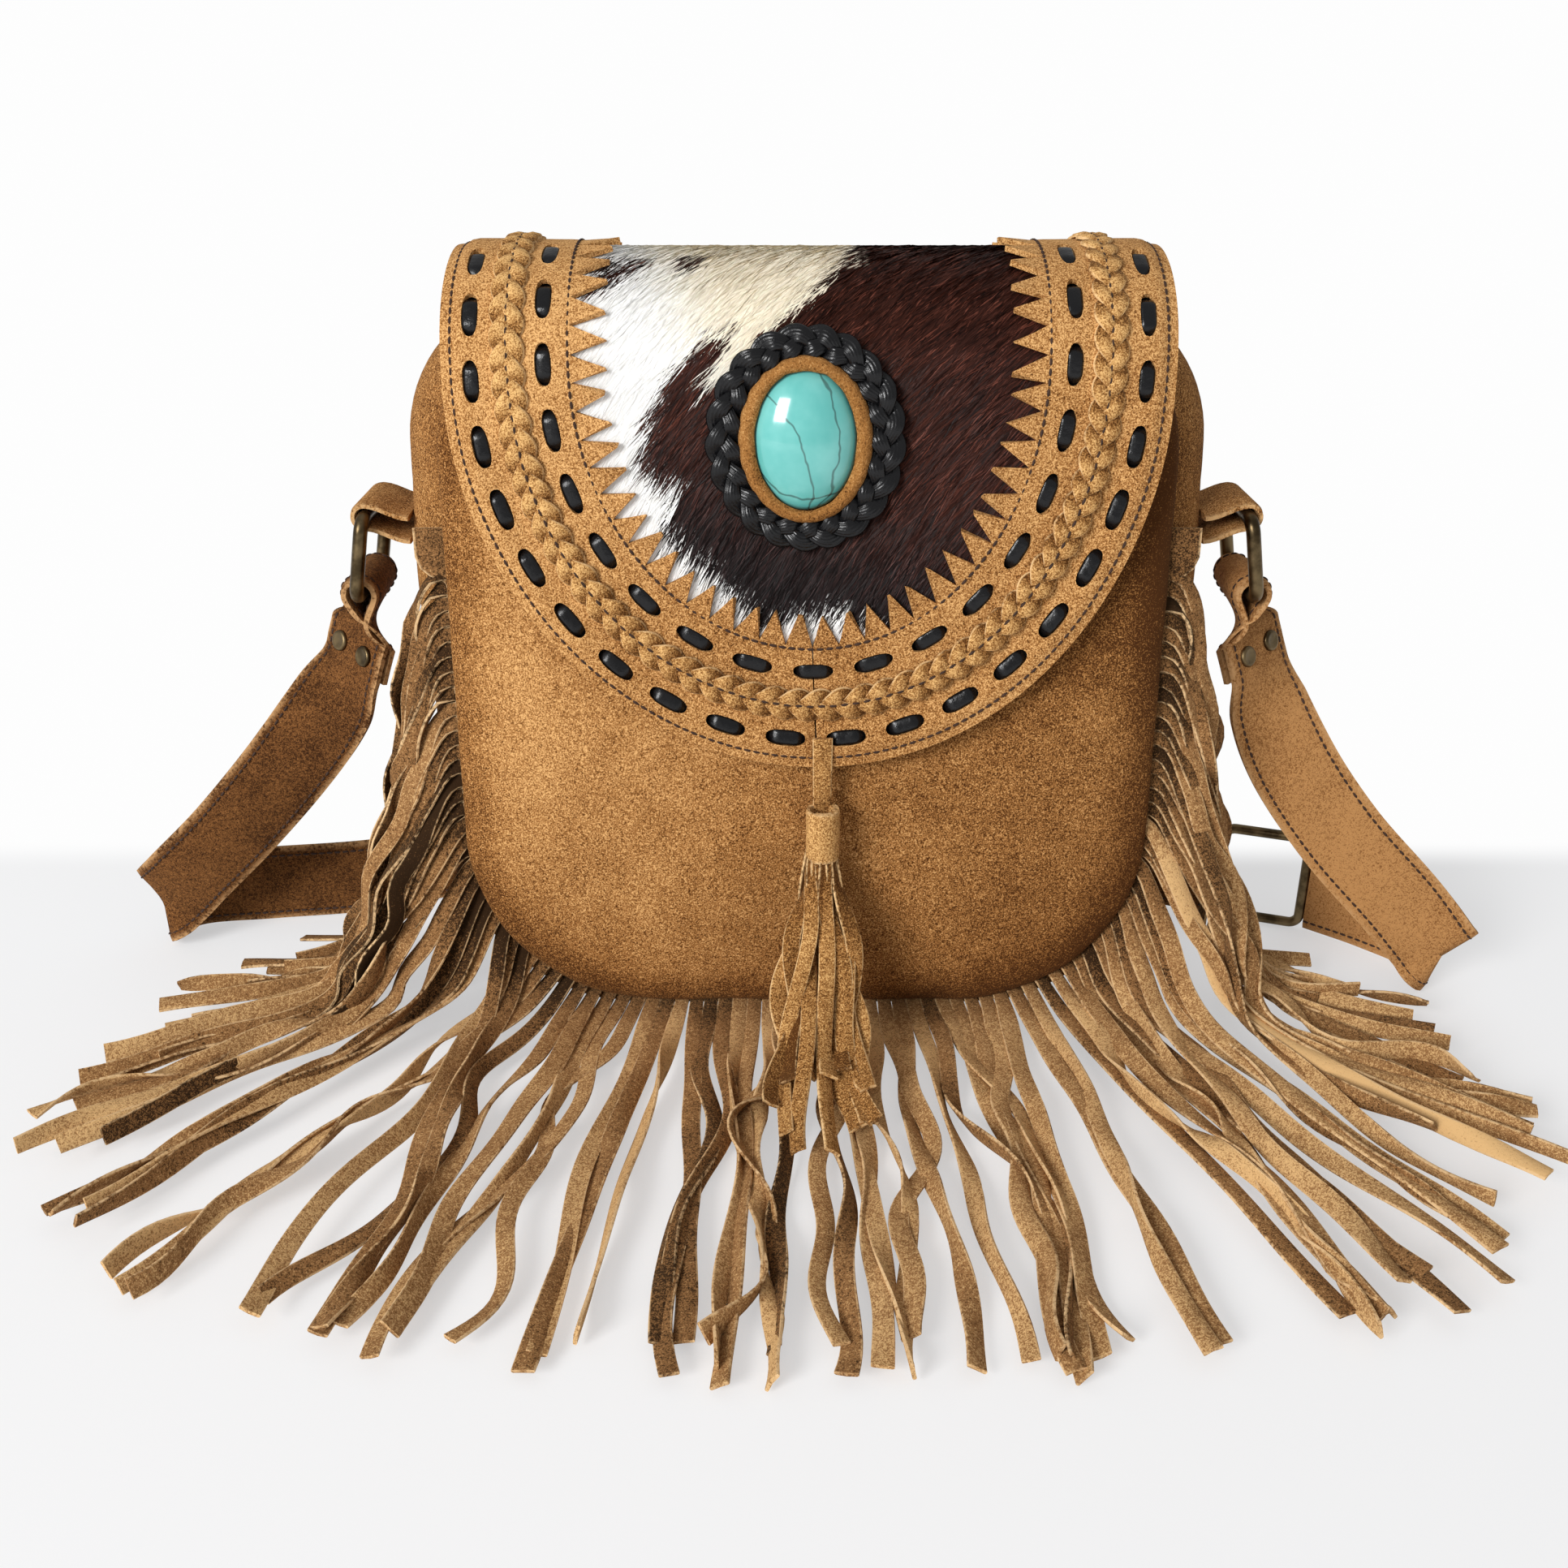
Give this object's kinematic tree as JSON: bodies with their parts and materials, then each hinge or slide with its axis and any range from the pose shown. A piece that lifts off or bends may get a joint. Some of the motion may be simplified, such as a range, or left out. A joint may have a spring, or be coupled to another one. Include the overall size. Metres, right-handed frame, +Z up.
{
  "type": "fringed suede bag",
  "caption": "Domed suede shoulder bag with long fringe in its front seam, a laced flap with a hair-on hide panel and a stone, a tassel, and a strap on brass rings.",
  "frame": {"origin": "on the ground under the middle of the bag's flat base", "axes": "+Z up, the bag faces -Y, +X to its right as seen from the front"},
  "size_m": [0.462, 0.2542, 0.2468],
  "materials": {
    "suede_tan": "matt golden brown suede with a short nap",
    "suede_gold": "matt light golden brown suede",
    "suede_dark": "matt darker brown suede with lighter cut edges",
    "hide": "short glossy hair, white and cream with large dark brown patches",
    "black_leather": "smooth black leather with a soft gloss",
    "stone": "polished turquoise blue stone with fine dark veins",
    "aged_brass": "aged, darkened, satin"
  },
  "bodies": {
    "bag": {"front_panel": "suede_tan", "back_panel": "suede_tan", "gusset": "suede_tan", "fringe": "suede_dark", "flap_root": "suede_tan", "tab_left": "suede_tan", "tab_right": "suede_tan", "strap_left": "suede_dark", "strap_right": "suede_dark", "strap_buckle": "aged_brass"},
    "flap": {"flap_lining": "suede_dark", "cowhide_panel": "hide", "flap_border_left": "suede_tan", "flap_border_right": "suede_tan", "outer_lace": "black_leather", "inner_lace": "black_leather", "braid_trim": "suede_gold", "stone_cabochon": "stone", "stone_bezel": "suede_dark", "braided_ring": "black_leather", "tassel_thong": "suede_gold"},
    "tassel": {"tassel": "suede_gold"},
    "left_ring": {"ring_left": "aged_brass", "rivet_left_1": "aged_brass", "rivet_left_2": "aged_brass"},
    "right_ring": {"ring_right": "aged_brass", "rivet_right_1": "aged_brass", "rivet_right_2": "aged_brass"}
  },
  "joints": [
    {"name": "flap_hinge", "type": "hinge", "parent": "bag", "child": "flap", "pos_m": [0, 0.035, 0.212], "axis": [-1, 0, 0], "range_deg": [0, 120]},
    {"name": "tassel_swing", "type": "hinge", "parent": "flap", "child": "tassel", "pos_m": [0.0046, -0.0525, 0.0965], "axis": [-1, 0, 0], "range_deg": [-120, 0], "deforming": ["tassel_thong"]},
    {"name": "left_ring_swing", "type": "hinge", "parent": "bag", "child": "left_ring", "pos_m": [-0.136, 0, 0.163], "axis": [0, 1, 0], "range_deg": [-5, 60], "deforming": ["strap_left"]},
    {"name": "right_ring_swing", "type": "hinge", "parent": "bag", "child": "right_ring", "pos_m": [0.136, 0, 0.163], "axis": [0, -1, 0], "range_deg": [-5, 60], "deforming": ["strap_right"]}
  ],
  "couplings": [
    {"joint": "tassel_swing", "follows": "flap_hinge", "ratio": -1}
  ]
}
